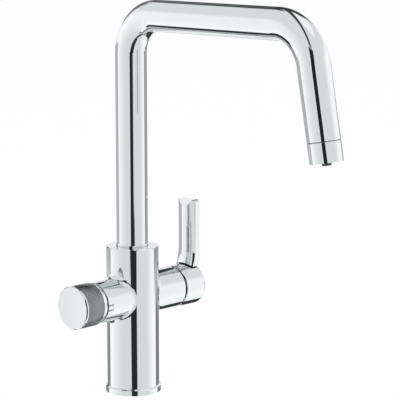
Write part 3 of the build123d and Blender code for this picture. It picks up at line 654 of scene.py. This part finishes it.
def makeJetLips(size, spout):
    steps = size["sides"]
    points = []
    for radius, up in ((size["hole"], 0), (size["hole"], size["stand"]), (size["lip"], size["stand"]),
                       (size["lip"], 0)):
        points += [(radius * math.cos(math.tau * s / steps), radius * math.sin(math.tau * s / steps), up)
                   for s in range(steps)]
    lip = bpy.data.meshes.new("jetLip")
    lip.from_pydata(points, [], ringWalls(4, steps))
    closeAndSmooth(lip, sharpDegrees=40)
    lipObject = bpy.data.objects.new("jetLip", lip)
    bpy.context.scene.collection.objects.link(lipObject)

    tree, source, result = geometryTree("jetLips", {"Lip": "NodeSocketObject", "Jets": "NodeSocketInt",
                                                    "Circle": "NodeSocketFloat"})
    ring = tree.nodes.new("GeometryNodeMeshCircle")
    info = tree.nodes.new("GeometryNodeObjectInfo")
    copies = tree.nodes.new("GeometryNodeInstanceOnPoints")
    tree.links.new(source.outputs["Jets"], ring.inputs["Vertices"])
    tree.links.new(source.outputs["Circle"], ring.inputs["Radius"])
    tree.links.new(source.outputs["Lip"], info.inputs["Object"])
    tree.links.new(ring.outputs["Mesh"], copies.inputs["Points"])
    tree.links.new(info.outputs["Geometry"], copies.inputs["Instance"])
    endTree(tree, result, copies.outputs["Instances"], finishes["dark_plastic"])
    mesh = runTree(tree, bpy.data.meshes.new("jetCarrier"),
                   {"Lip": lipObject, "Jets": size["count"], "Circle": size["circle"]})
    bpy.data.objects.remove(lipObject)
    # stood on the aerator's face, pointing out of the spout
    down = spoutDirection(spout)
    across = Vector((1, 0, 0))
    upward = down.cross(across)
    base = outletEnd(spout) - down * size["recess"]
    for vertex in mesh.vertices:
        x, y, z = vertex.co
        vertex.co = base + across * x + upward * y + down * z
    return mesh


meshPiece("aeratorJetLips", makeJetLips(jetLips, spoutTube), "spout", (), finishes["dark_plastic"])
print("tap: aerator lips placed,", jetLips["count"])


# two small etched ticks on the knob's arm, plain and generic

armTicks = {"x": -0.0438, "spots": ((1.0, 0.0015), (-13.0, 0.0015)), "length": 0.006, "radius": 0.0183,
            "proud": 0.0001}


def makeArmTicks(size):
    points, faces = [], []
    radius = size["radius"] + size["proud"]
    for degrees, width in size["spots"]:
        first = len(points)
        middle = math.radians(degrees)
        for end in (-0.5, 0.5):
            for side in (-0.5, 0.5):
                angle = middle + side * width / radius
                points.append((size["x"] + end * size["length"], -radius * math.cos(angle),
                               valveHeight + radius * math.sin(angle)))
        faces.append((first, first + 2, first + 3, first + 1))
    mesh = bpy.data.meshes.new("armTicks")
    mesh.from_pydata(points, [], faces)
    return mesh


meshPiece("armTickMarks", makeArmTicks(armTicks), "tap_body", (), finishes["mark"])
print("tap: ticks laid on")


# studio: pale floor, soft lamps, and what the chrome sees round it

studio = {
    "floorSize": 14.0,
    "floorColour": (0.90, 0.90, 0.90),
    "floorWhite": 0.96,          # how much of the floor is plain white to the camera
    "floorRoughness": 0.9,
    "floorGrain": 400.0,
    "floorShade": 0.985,         # the grain's darker share of the colour
    "ambient": 0.62,
    "lampTarget": (0, -0.05, 0.15),
    "lamps": {
        "keyLamp": {"place": (-1.6, -0.6, 2.2), "width": 1.8, "power": 26.0},
        "fillLamp": {"place": (1.5, -1.6, 1.6), "width": 1.8, "power": 12.0},
    },
}

# The room that the chrome mirrors: pale walls, with dark gaps between them. Every angle is in degrees, across
# the room to the right of the camera's own side, and up from the horizon.
room = {
    "cameraSide": 134.6,         # degrees that bring the camera's side of the room to +X
    "scale": 1.5,                # the ramp holds levels divided by this
    "ceiling": 0.97,
    "ceilingFrom": (12, 30),     # heights over which the walls give way to the ceiling
    "walls": ((-180, 1.0), (-112, 1.36), (-88, 1.20), (-55, 1.0), (-40, .95), (65, .96), (98, 1.30),
              (116, 1.30), (180, 1.0)),
}

# A gap: its middle and half width across, its lowest and highest edge, how soft its edges are across and up,
# how far its middle moves across for each degree up, and its level. The slit in front leans over and back again.
roomGaps = {
    "slitFoot": {"middle": 6, "half": 12.5, "low": -64, "high": -10, "soft": (2, 1), "lean": 0, "level": .03},
    "slitLow": {"middle": 1.5, "half": 11.5, "low": -11.6, "high": -1, "soft": (2, 1), "lean": 0, "level": .03},
    "slitHigh": {"middle": -9, "half": 11.5, "low": -1, "high": 30, "soft": (3, 4), "lean": 0.2, "level": .02},
    "backTop": {"middle": 177, "half": 28, "low": 20, "high": 62, "soft": (12, 8), "lean": 0, "level": .05},
    "leftBack": {"middle": -156, "half": 17, "low": 8, "high": 38, "soft": (8, 8), "lean": 0, "level": .20},
    "leftRim": {"middle": -141, "half": 20, "low": -20, "high": -12, "soft": (3, 2), "lean": 0, "level": .34},
    "leftRimUp": {"middle": -138, "half": 28, "low": -12, "high": -1, "soft": (4, 2), "lean": 0, "level": .60},
    "rightRim": {"middle": 151, "half": 30, "low": -20, "high": -12, "soft": (5, 2), "lean": 0, "level": .28},
    "rightRimUp": {"middle": 146, "half": 37, "low": -12, "high": -1, "soft": (4, 2), "lean": 0, "level": .45},
    "leftLow": {"middle": -132, "half": 18, "low": -55, "high": -19, "soft": (6, 3), "lean": 0, "level": .04},
    "backLow": {"middle": 160, "half": 18, "low": -62, "high": -23, "soft": (5, 5), "lean": 0, "level": .05},
    "topPanel": {"middle": 125, "half": 65, "low": 52, "high": 82, "soft": (20, 8), "lean": 0, "level": 1.25},
}

# a dark beam that crosses the room overhead and underfoot, from the slit to the back
roomBeam = {"turned": -3, "half": 0.085, "soft": 0.05, "from": (26, 36), "level": .07}


def ringRamp(tree, azimuth, stops, scale):
    ramp = tree.nodes.new("ShaderNodeValToRGB")
    elements = ramp.color_ramp.elements
    for order, (degrees, level) in enumerate(stops):
        place = (degrees + 180) / 360
        if order == 0:
            element = elements[0]
        elif order < len(stops) - 1:
            element = elements.new(place)
        else:
            element = elements[-1]
        element.position = place
        value = level / scale
        element.color = (value, value, value, 1)
    tree.links.new(azimuth, ramp.inputs["Fac"])
    return ramp.outputs["Color"]


def softStep(tree, source, low, high, before=0, after=1):
    # one value below low and another above high, eased between them
    span = addNode(tree, "ShaderNodeMapRange", interpolation_type="SMOOTHSTEP")
    span.inputs["From Min"].default_value = low
    span.inputs["From Max"].default_value = high
    span.inputs["To Min"].default_value = before
    span.inputs["To Max"].default_value = after
    tree.links.new(source, span.inputs["Value"])
    return span.outputs["Result"]


def blendLevels(tree, factor, first, second):
    mix = addNode(tree, "ShaderNodeMix", data_type="RGBA")
    tree.links.new(factor, mix.inputs["Factor"])
    tree.links.new(first, mix.inputs["A"])
    mix.inputs["B"].default_value = (second, second, second, 1)
    return mix.outputs["Result"]


def plainScale(tree, colour, times):
    scale = addNode(tree, "ShaderNodeVectorMath", operation="SCALE")
    scale.inputs["Scale"].default_value = times
    tree.links.new(colour, scale.inputs[0])
    return scale.outputs[0]


def plainMath(tree, operation, first, *values):
    node = addNode(tree, "ShaderNodeMath", operation=operation)
    tree.links.new(first, node.inputs[0])
    for place, value in enumerate(values, 1):
        if isinstance(value, (int, float)):
            node.inputs[place].default_value = value
        else:
            tree.links.new(value, node.inputs[place])
    return node.outputs[0]


def insideOf(tree, distance, half, soft):
    # 1 where a distance from the middle is less than half the width, 0 outside, with a soft edge
    return softStep(tree, distance, half - soft / 2, half + soft / 2, before=1, after=0)


def cutGap(tree, level, across, up, gap):
    middleUp = (gap["low"] + gap["high"]) / 2
    fromMiddle = plainMath(tree, "SUBTRACT", up, middleUp)
    leaning = plainMath(tree, "MULTIPLY", fromMiddle, gap["lean"])
    aside = plainMath(tree, "SUBTRACT", plainMath(tree, "SUBTRACT", across, gap["middle"]), leaning)
    aside = plainMath(tree, "ABSOLUTE", plainMath(tree, "WRAP", aside, 180, -180))
    away = plainMath(tree, "ABSOLUTE", fromMiddle)
    softAcross, softUp = gap["soft"]
    mask = plainMath(tree, "MULTIPLY", insideOf(tree, aside, gap["half"], softAcross),
                     insideOf(tree, away, (gap["high"] - gap["low"]) / 2, softUp))
    return blendLevels(tree, mask, level, gap["level"])


def cutBeam(tree, level, direction, up, beam):
    turned = math.radians(beam["turned"])
    along = plainMath(tree, "MULTIPLY", direction.outputs["X"], math.sin(turned))
    aside = plainMath(tree, "MULTIPLY", direction.outputs["Y"], math.cos(turned))
    aside = plainMath(tree, "ABSOLUTE", plainMath(tree, "SUBTRACT", aside, along))
    steep = softStep(tree, plainMath(tree, "ABSOLUTE", up), *beam["from"])
    mask = plainMath(tree, "MULTIPLY", insideOf(tree, aside, beam["half"], beam["soft"]), steep)
    return blendLevels(tree, mask, level, beam["level"])


def buildWorld(studioSize, size, gaps, beam):
    world = bpy.data.worlds.new("studioRoom")
    bpy.context.scene.world = world
    world.use_nodes = True
    tree = world.node_tree
    tree.nodes.clear()
    place = tree.nodes.new("ShaderNodeTexCoord")
    turn = addNode(tree, "ShaderNodeVectorRotate", rotation_type="Z_AXIS")
    turn.inputs["Angle"].default_value = math.radians(size["cameraSide"])
    split = tree.nodes.new("ShaderNodeSeparateXYZ")
    tree.links.new(place.outputs["Generated"], turn.inputs["Vector"])
    tree.links.new(turn.outputs["Vector"], split.inputs["Vector"])
    perRadian = 180 / math.pi
    across = plainMath(tree, "ARCTAN2", split.outputs["Y"], split.outputs["X"])
    across = plainMath(tree, "MULTIPLY", across, perRadian)
    up = plainMath(tree, "MULTIPLY", plainMath(tree, "ARCSINE", split.outputs["Z"]), perRadian)

    share = plainMath(tree, "MULTIPLY_ADD", across, 1 / 360, 0.5)
    walls = ringRamp(tree, share, size["walls"], size["scale"])
    walls = plainScale(tree, walls, size["scale"])
    level = blendLevels(tree, softStep(tree, up, *size["ceilingFrom"]), walls, size["ceiling"])
    for gap in gaps.values():
        level = cutGap(tree, level, across, up, gap)
    level = cutBeam(tree, level, split, up, beam)

    path = tree.nodes.new("ShaderNodeLightPath")
    seen = tree.nodes.new("ShaderNodeBackground")          # plain white behind the tap
    seen.inputs["Color"].default_value = (1, 1, 1, 1)
    seen.inputs["Strength"].default_value = 1.0
    mirrored = tree.nodes.new("ShaderNodeBackground")      # the room in the chrome
    mirrored.inputs["Strength"].default_value = 1.0
    tree.links.new(level, mirrored.inputs["Color"])
    even = tree.nodes.new("ShaderNodeBackground")          # even light on the rest
    even.inputs["Color"].default_value = (1, 1, 1, 1)
    even.inputs["Strength"].default_value = studioSize["ambient"]
    firstMix = tree.nodes.new("ShaderNodeMixShader")
    secondMix = tree.nodes.new("ShaderNodeMixShader")
    throughOrSeen = addNode(tree, "ShaderNodeMath", operation="MAXIMUM")
    out = tree.nodes.new("ShaderNodeOutputWorld")
    tree.links.new(path.outputs["Is Camera Ray"], throughOrSeen.inputs[0])
    tree.links.new(path.outputs["Is Transmission Ray"], throughOrSeen.inputs[1])
    tree.links.new(path.outputs["Is Glossy Ray"], firstMix.inputs[0])
    tree.links.new(even.outputs[0], firstMix.inputs[1])
    tree.links.new(mirrored.outputs[0], firstMix.inputs[2])
    tree.links.new(throughOrSeen.outputs[0], secondMix.inputs[0])
    tree.links.new(firstMix.outputs[0], secondMix.inputs[1])
    tree.links.new(seen.outputs[0], secondMix.inputs[2])
    tree.links.new(secondMix.outputs[0], out.inputs["Surface"])


def buildFloor(size):
    half = size["floorSize"] / 2
    mesh = bpy.data.meshes.new("paleFloor")
    mesh.from_pydata([(-half, -half, 0), (half, -half, 0), (half, half, 0), (-half, half, 0)], [], [(0, 1, 2, 3)])
    material, tree, shader = newMaterial("palePaper")
    shader.inputs["Roughness"].default_value = size["floorRoughness"]
    grain = noiseFrom(tree, size["floorGrain"], detail=3.0)
    colour = size["floorColour"]
    shade = tuple(value * size["floorShade"] for value in colour)
    tree.links.new(colourBetween(tree, grain.outputs["Fac"], colour, shade), shader.inputs["Base Color"])
    white = tree.nodes.new("ShaderNodeEmission")
    white.inputs["Color"].default_value = (1, 1, 1, 1)
    white.inputs["Strength"].default_value = 1.0
    path = tree.nodes.new("ShaderNodeLightPath")
    share = addNode(tree, "ShaderNodeMath", operation="MULTIPLY")
    share.inputs[1].default_value = size["floorWhite"]
    mix = tree.nodes.new("ShaderNodeMixShader")
    tree.links.new(path.outputs["Is Camera Ray"], share.inputs[0])
    tree.links.new(share.outputs[0], mix.inputs[0])
    tree.links.new(shader.outputs[0], mix.inputs[1])
    tree.links.new(white.outputs[0], mix.inputs[2])
    tree.links.new(mix.outputs[0], tree.nodes["Material Output"].inputs["Surface"])
    mesh.materials.append(material)
    floor = bpy.data.objects.new("paleFloor", mesh)
    bpy.context.scene.collection.objects.link(floor)
    floor.visible_glossy = False       # the chrome sees the room's lower half instead


def softLamp(name, place, target, width, power):
    lamp = bpy.data.lights.new(name, "AREA")
    lamp.shape = "SQUARE"
    lamp.size = width
    lamp.energy = power
    holder = bpy.data.objects.new(name, lamp)
    bpy.context.scene.collection.objects.link(holder)
    holder.location = place
    holder.rotation_euler = (Vector(target) - Vector(place)).to_track_quat("-Z", "Y").to_euler()
    holder.visible_glossy = False      # the room's own levels are what the chrome mirrors


buildWorld(studio, room, roomGaps, roomBeam)
buildFloor(studio)
for lampName, lampSetting in studio["lamps"].items():
    softLamp(lampName, lampSetting["place"], studio["lampTarget"], lampSetting["width"], lampSetting["power"])
print("tap: studio lit,", len(studio["lamps"]), "lamps")


# camera

viewpoint = {"place": (-1.17383, -1.19023, 0.45254), "yaw": -46.684, "pitch": -9.511, "roll": 0.078,
             "lens": 171.97, "sensor": 36.0, "farClip": 50}


def placeCamera(size):
    camera = bpy.data.cameras.new("photoView")
    camera.sensor_width = size["sensor"]
    camera.lens = size["lens"]
    camera.clip_end = size["farClip"]
    holder = bpy.data.objects.new("photoView", camera)
    bpy.context.scene.collection.objects.link(holder)
    holder.location = size["place"]
    holder.rotation_euler = (math.radians(90 + size["pitch"]), math.radians(size["roll"]),
                             math.radians(size["yaw"]))
    bpy.context.scene.camera = holder


placeCamera(viewpoint)
bpy.context.scene.view_settings.view_transform = "Standard"


print("tap: done")
